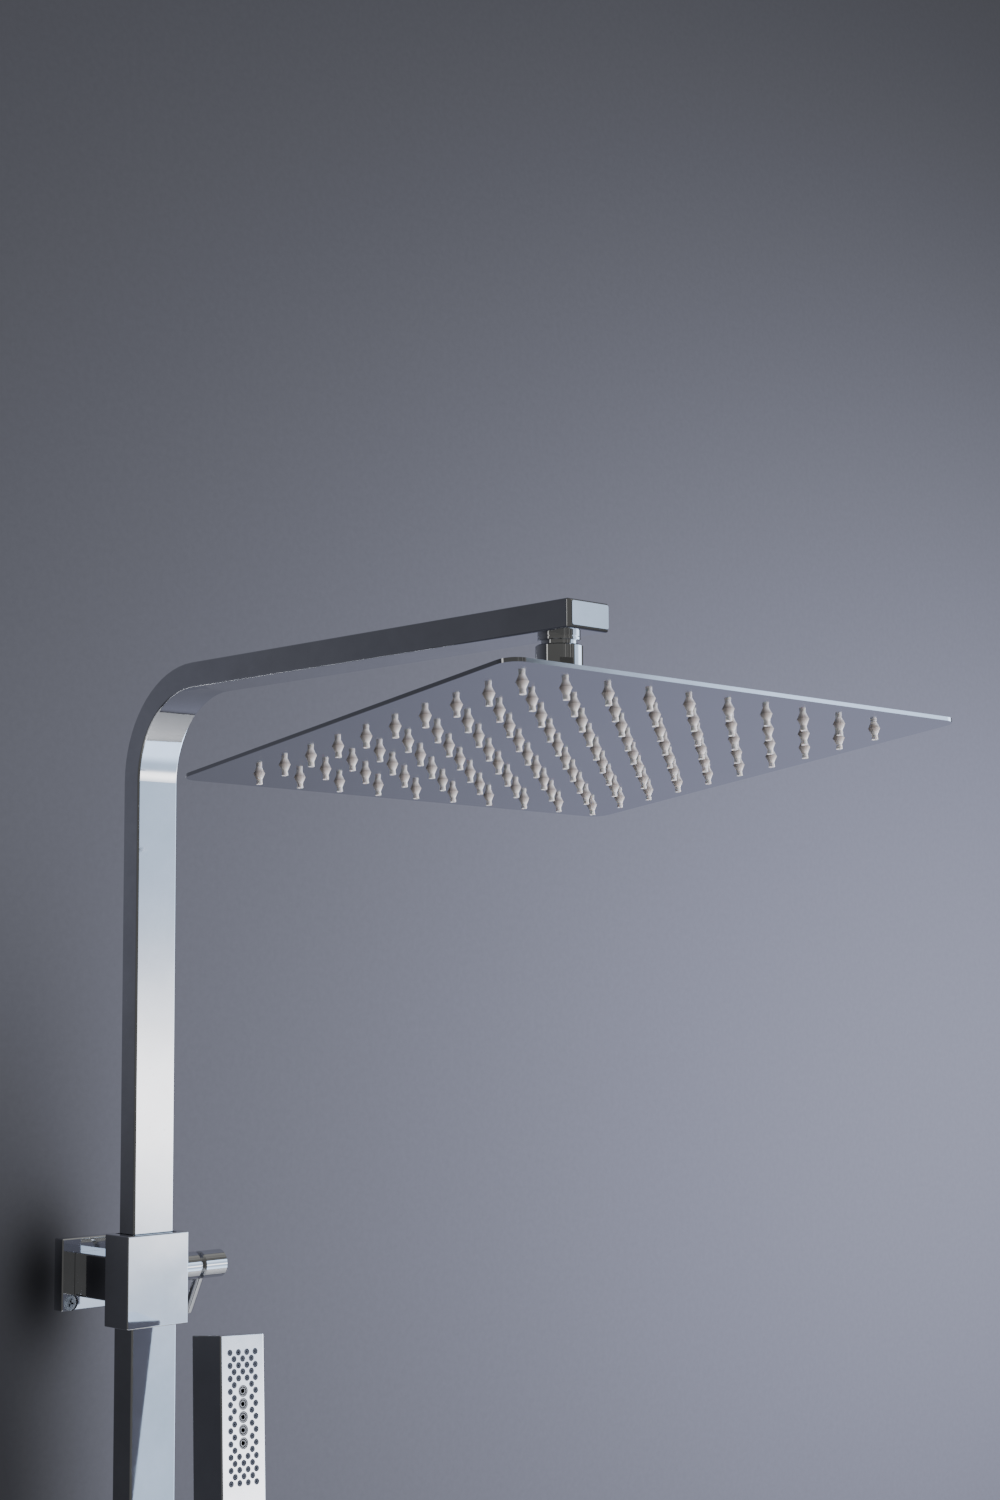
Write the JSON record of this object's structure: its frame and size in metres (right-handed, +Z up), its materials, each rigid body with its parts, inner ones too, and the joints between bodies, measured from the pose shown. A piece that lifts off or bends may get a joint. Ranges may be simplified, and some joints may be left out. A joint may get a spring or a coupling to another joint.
{
  "type": "rainfall shower column",
  "caption": "Wall-mounted shower column with a telescopic rectangular riser, thin square overhead head on a ball joint, clamp lever, sliding holder with stick handset and foot diverter.",
  "frame": {"origin": "centre of the upper wall flange's back face, on the finished wall", "axes": "+Z up along the column, +Y into the wall, +X to the right as seen from the room"},
  "size_m": [0.2752, 0.5414, 1.247],
  "materials": {
    "chrome": "polished chrome plate",
    "polished_steel": "mirror-polished stainless sheet",
    "fixings": "dark stainless",
    "brass": "machined brass",
    "silicone": "warm off-white silicone",
    "black_rubber": "black seal rubber",
    "grey_plastic": "dark moulded plastic",
    "handset_plastic": "grey moulded spray insert",
    "valve_ceramic": "lapped ceramic"
  },
  "bodies": {
    "column_base": {"upper_wall_flange": "chrome", "upper_wall_screws": "fixings", "upper_grub_screw": "fixings", "collar_body": "chrome", "collar_bush": "grey_plastic", "clamp_shoe": "grey_plastic", "lever_base": "chrome", "lower_tube": "chrome", "tube_foot_seal": "black_rubber", "diverter_body": "chrome", "lower_wall_flange": "chrome", "lower_wall_screws": "fixings", "lower_grub_screw": "fixings", "diverter_cartridge": "chrome", "fixed_valve_disc": "valve_ceramic", "valve_seal": "black_rubber", "inlet_nipple": "chrome", "hose_outlet_nipple": "chrome"},
    "riser": {"riser_arm": "chrome", "arm_end_cap": "chrome", "arm_outlet_nipple": "chrome", "riser_gland": "grey_plastic", "riser_seal": "black_rubber", "swivel_nut": "chrome", "filter_washer": "fixings", "ball_stud": "brass"},
    "clamp_lever": {"lever_cap": "chrome", "lever_pin": "chrome", "clamp_screw": "fixings"},
    "ball_seat": {"ball_seat_ring": "grey_plastic"},
    "friction_ring": {"ball_friction_ring": "grey_plastic"},
    "head": {"head_top_sheet": "polished_steel", "nozzle_mat": "silicone", "head_face_plate": "polished_steel", "socket_boss": "chrome", "socket_nut": "chrome", "ball_oring": "black_rubber"},
    "slider": {"slider_body": "chrome", "slider_liner": "grey_plastic", "holder_pivot_pin": "chrome"},
    "slider_lock": {"slider_knob": "chrome", "slider_knob_screw": "fixings"},
    "holder": {"holder_cradle": "chrome"},
    "handset": {"handset_body": "chrome", "handset_nozzle_mat": "handset_plastic", "handset_jets": "handset_plastic", "handset_core": "handset_plastic", "handset_end_fitting": "chrome", "handset_flow_limiter": "handset_plastic"},
    "diverter_handle": {"diverter_knob": "chrome", "diverter_spindle": "brass", "moving_valve_disc": "valve_ceramic", "knob_grub_screw": "fixings"}
  },
  "joints": [
    {"name": "column_height", "type": "slide", "parent": "column_base", "child": "riser", "axis": [0, 0, 1], "range_m": [-0.2, 0.18]},
    {"name": "clamp_lever_turn", "type": "hinge", "parent": "column_base", "child": "clamp_lever", "pos_m": [0.0373, -0.0588, 0.0053], "axis": [1, 0, 0], "range_deg": [0, 120]},
    {"name": "head_swivel", "type": "hinge", "parent": "riser", "child": "ball_seat", "pos_m": [0, -0.3724, 0.276], "axis": [0, 0, 1], "continuous": true},
    {"name": "head_tilt_front", "type": "hinge", "parent": "ball_seat", "child": "friction_ring", "pos_m": [0, -0.3724, 0.276], "axis": [1, 0, 0], "range_deg": [-5, 17]},
    {"name": "head_tilt_side", "type": "hinge", "parent": "friction_ring", "child": "head", "pos_m": [0, -0.3724, 0.276], "axis": [0, 1, 0], "range_deg": [-12, 9]},
    {"name": "slider_height", "type": "slide", "parent": "column_base", "child": "slider", "axis": [0, 0, 1], "range_m": [-0.48, 0.16]},
    {"name": "slider_lock_turn", "type": "hinge", "parent": "slider", "child": "slider_lock", "pos_m": [0.03, -0.058, -0.2196], "axis": [1, 0, 0], "range_deg": [0, 180]},
    {"name": "holder_tilt", "type": "hinge", "parent": "slider", "child": "holder", "pos_m": [0, -0.088, -0.2196], "axis": [1, 0, 0], "range_deg": [-5, 34]},
    {"name": "handset_lift", "type": "slide", "parent": "holder", "child": "handset", "axis": [0.0558, 0.1009, 0.9933], "range_m": [0, 0.06]},
    {"name": "diverter_turn", "type": "hinge", "parent": "column_base", "child": "diverter_handle", "pos_m": [0, -0.09, -0.878], "axis": [0, -1, 0], "range_deg": [0, 90]}
  ]
}
